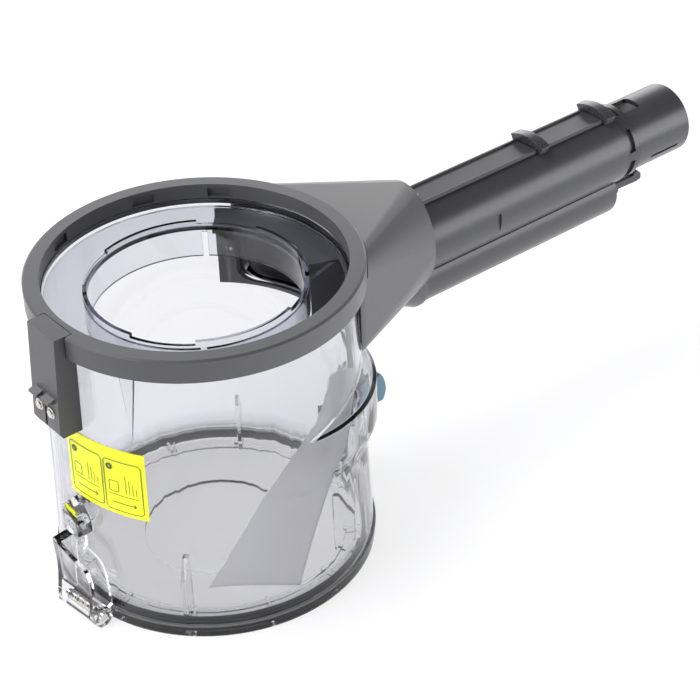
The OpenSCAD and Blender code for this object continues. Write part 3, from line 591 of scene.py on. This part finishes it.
def disc(form, x, y, radius, hole, steps=24):
    """A printed disc with a round hole left open."""
    ring = [[form.verts.new((x + r * math.cos(math.tau * k / steps),
                             y + r * math.sin(math.tau * k / steps), 0.0))
             for k in range(steps)] for r in (radius, hole)]
    for k in range(steps):
        n = (k + 1) % steps
        form.faces.new((ring[0][k], ring[0][n], ring[1][n], ring[1][k]))


# Stage

WHITE = (1.0, 1.0, 1.0, 1.0)
HORIZON_GREY = (0.22, 0.22, 0.24, 1.0)
FLOOR_GREY = (0.30, 0.30, 0.31, 1.0)
FLOOR_HALF = 6.0
FLOOR_DROP = 0.2 * MM
FLOOR_GLOW = 0.74
SHADE_BEHIND_CLEAR = -0.13         # painted shade: how much the floor's glow is lowered where it is seen through the clear parts

# Name, place, aim, width and height, power, whether it lights through clear parts, and
# whether it shows in gloss
LAMPS = (
    ("soft_over", (-0.20, 0.30, 0.95), (0.05, 0.0, 0.05), 0.9, 0.7, 11.5, True, True),
    ("soft_left", (-1.05, 0.10, 0.40), (0.0, 0.0, 0.08), 0.8, 0.6, 9.0, True, True),
    ("soft_back", (0.85, 1.05, 0.42), (0.05, 0.0, 0.08), 1.9, 0.75, 11.0, False, True),
    ("soft_right", (0.75, -0.75, 0.25), (0.08, 0.0, 0.05), 0.8, 0.5, 5.0, False, True),
    ("soft_low", (0.20, -0.22, 0.004), (0.20, -0.20, 1.0), 0.55, 0.35, 2.6, False, False),
)

EYE_PLACE = (-0.36778, -0.56633, 0.55342)
EYE_AHEAD = (0.504563, 0.648838, -0.569584)
EYE_ROLL = 0.04
EYE_LENS, EYE_SENSOR = 108.36, 36.0


def worked_out(nodes, links, operation, *terms):
    """A math node whose terms are numbers or the sockets that feed it."""
    step = nodes.new("ShaderNodeMath")
    step.operation = operation
    for socket, term in zip(step.inputs, terms):
        if isinstance(term, float):
            socket.default_value = term
        else:
            links.new(term, socket)
    return step.outputs["Value"]


def floor_finish():
    """Pale floor that keeps the shadow, glows for the eye and is painted darker where it is seen
    through clear parts.
    """
    finish = bpy.data.materials.new("pale_floor")
    finish.use_nodes = True
    nodes, links = finish.node_tree.nodes, finish.node_tree.links
    nodes.clear()
    out = nodes.new("ShaderNodeOutputMaterial")
    matt = nodes.new("ShaderNodeBsdfDiffuse")
    matt.inputs["Color"].default_value = FLOOR_GREY
    glow = nodes.new("ShaderNodeEmission")
    glow.inputs["Color"].default_value = WHITE
    ray = nodes.new("ShaderNodeLightPath").outputs
    seen = worked_out(nodes, links, "MAXIMUM", ray["Is Camera Ray"], ray["Is Glossy Ray"])
    straight = worked_out(nodes, links, "MULTIPLY", seen, FLOOR_GLOW)
    # painted shade on the floor where it is seen through the clear parts
    level = worked_out(nodes, links, "MULTIPLY_ADD", ray["Is Transmission Ray"], SHADE_BEHIND_CLEAR,
                       straight)
    links.new(level, glow.inputs["Strength"])
    both = nodes.new("ShaderNodeAddShader")
    links.new(matt.outputs["BSDF"], both.inputs[0])
    links.new(glow.outputs["Emission"], both.inputs[1])
    links.new(both.outputs["Shader"], out.inputs["Surface"])
    return finish


def white_surround(scene):
    """A world that the eye sees white, and that lights from a white rim to a grey overhead."""
    world = bpy.data.worlds.new("surround")
    scene.world = world
    world.use_nodes = True
    nodes, links = world.node_tree.nodes, world.node_tree.links
    nodes.clear()
    out = nodes.new("ShaderNodeOutputWorld")
    place = nodes.new("ShaderNodeTexCoord")
    split = nodes.new("ShaderNodeSeparateXYZ")
    links.new(place.outputs["Generated"], split.inputs["Vector"])
    around = nodes.new("ShaderNodeBackground")
    links.new(colour_ramp(nodes, links, split.outputs["Z"], ((0.20, WHITE), (0.45, HORIZON_GREY))),
              around.inputs["Color"])
    around.inputs["Strength"].default_value = 0.75
    behind = nodes.new("ShaderNodeBackground")
    behind.inputs["Color"].default_value = WHITE
    behind.inputs["Strength"].default_value = 1.0
    path = nodes.new("ShaderNodeLightPath")
    pick = nodes.new("ShaderNodeMixShader")
    links.new(path.outputs["Is Camera Ray"], pick.inputs["Fac"])
    links.new(around.outputs["Background"], pick.inputs[1])
    links.new(behind.outputs["Background"], pick.inputs[2])
    links.new(pick.outputs["Shader"], out.inputs["Surface"])


def lamp(name, place, aim, width, height, power, through, in_gloss):
    """A soft lamp that the eye doesn't see."""
    light = bpy.data.lights.new(name, "AREA")
    light.shape = "RECTANGLE"
    light.size = width
    light.size_y = height
    light.energy = power
    holder = bpy.data.objects.new(name, light)
    holder.location = place
    holder.rotation_mode = "QUATERNION"
    holder.rotation_quaternion = (Vector(aim) - Vector(place)).to_track_quat("-Z", "Y")
    holder.visible_camera = False
    holder.visible_transmission = through
    holder.visible_glossy = in_gloss
    bpy.context.scene.collection.objects.link(holder)


def eye_at(scene):
    """The camera, turned a little about its own line of sight."""
    eye = bpy.data.cameras.new("eye")
    eye.lens = EYE_LENS
    eye.sensor_width = EYE_SENSOR
    eye.clip_start, eye.clip_end = 0.02, 20.0
    holder = bpy.data.objects.new("eye", eye)
    ahead = Vector(EYE_AHEAD).normalized()
    right = ahead.cross(Vector((0, 0, 1))).normalized()
    down = ahead.cross(right).normalized()
    across = right * math.cos(EYE_ROLL) + down * math.sin(EYE_ROLL)
    below = down * math.cos(EYE_ROLL) - right * math.sin(EYE_ROLL)
    turn = Matrix((across, -below, -ahead)).transposed()
    holder.matrix_world = Matrix.Translation(EYE_PLACE) @ turn.to_4x4()
    scene.collection.objects.link(holder)
    scene.camera = holder


class BIN_OT_stage(bpy.types.Operator):
    """Make the floor, the soft lamps, the white surround and the camera"""
    bl_idname = "bin.stage"
    bl_label = "Stage"

    def execute(self, context):
        form = bmesh.new()
        bmesh.ops.create_grid(form, x_segments=1, y_segments=1, size=FLOOR_HALF)
        bmesh.ops.translate(form, verts=form.verts, vec=(0, 0, -FLOOR_DROP))
        floor = piece_from("floor", form)
        floor.data.materials.append(floor_finish())
        white_surround(context.scene)
        for row in LAMPS:
            lamp(*row)
        eye_at(context.scene)
        context.scene.view_settings.view_transform = "Standard"
        return {"FINISHED"}


class BIN_PT_tools(bpy.types.Panel):
    """The dust bin's pieces, sizes and colours"""
    bl_idname = "BIN_PT_tools"
    bl_label = "Dust Bin"
    bl_space_type = "VIEW_3D"
    bl_region_type = "UI"
    bl_category = "Dust Bin"

    def draw(self, context):
        for step in STEPS:
            self.layout.operator(step.bl_idname)
        for group in (context.scene.bin_sizes, context.scene.bin_finish):
            for key in group.bl_rna.properties.keys():
                if key not in ("rna_type", "name"):
                    self.layout.prop(group, key)


STEPS = (BIN_OT_drum, BIN_OT_ring, BIN_OT_inlet, BIN_OT_tube, BIN_OT_lid, BIN_OT_latch,
         BIN_OT_label, BIN_OT_stage)
CLASSES = (BinSizes, BinFinish) + STEPS + (BIN_PT_tools,)


def register():
    for kind in CLASSES:
        bpy.utils.register_class(kind)
    bpy.types.Scene.bin_sizes = bpy.props.PointerProperty(type=BinSizes)
    bpy.types.Scene.bin_finish = bpy.props.PointerProperty(type=BinFinish)


def unregister():
    del bpy.types.Scene.bin_finish
    del bpy.types.Scene.bin_sizes
    for kind in reversed(CLASSES):
        bpy.utils.unregister_class(kind)


def main():
    register()
    bpy.ops.bin.drum()
    bpy.ops.bin.ring()
    bpy.ops.bin.inlet()
    bpy.ops.bin.tube()
    bpy.ops.bin.lid()
    bpy.ops.bin.latch()
    bpy.ops.bin.label()
    bpy.ops.bin.stage()


if __name__ == "__main__":
    main()
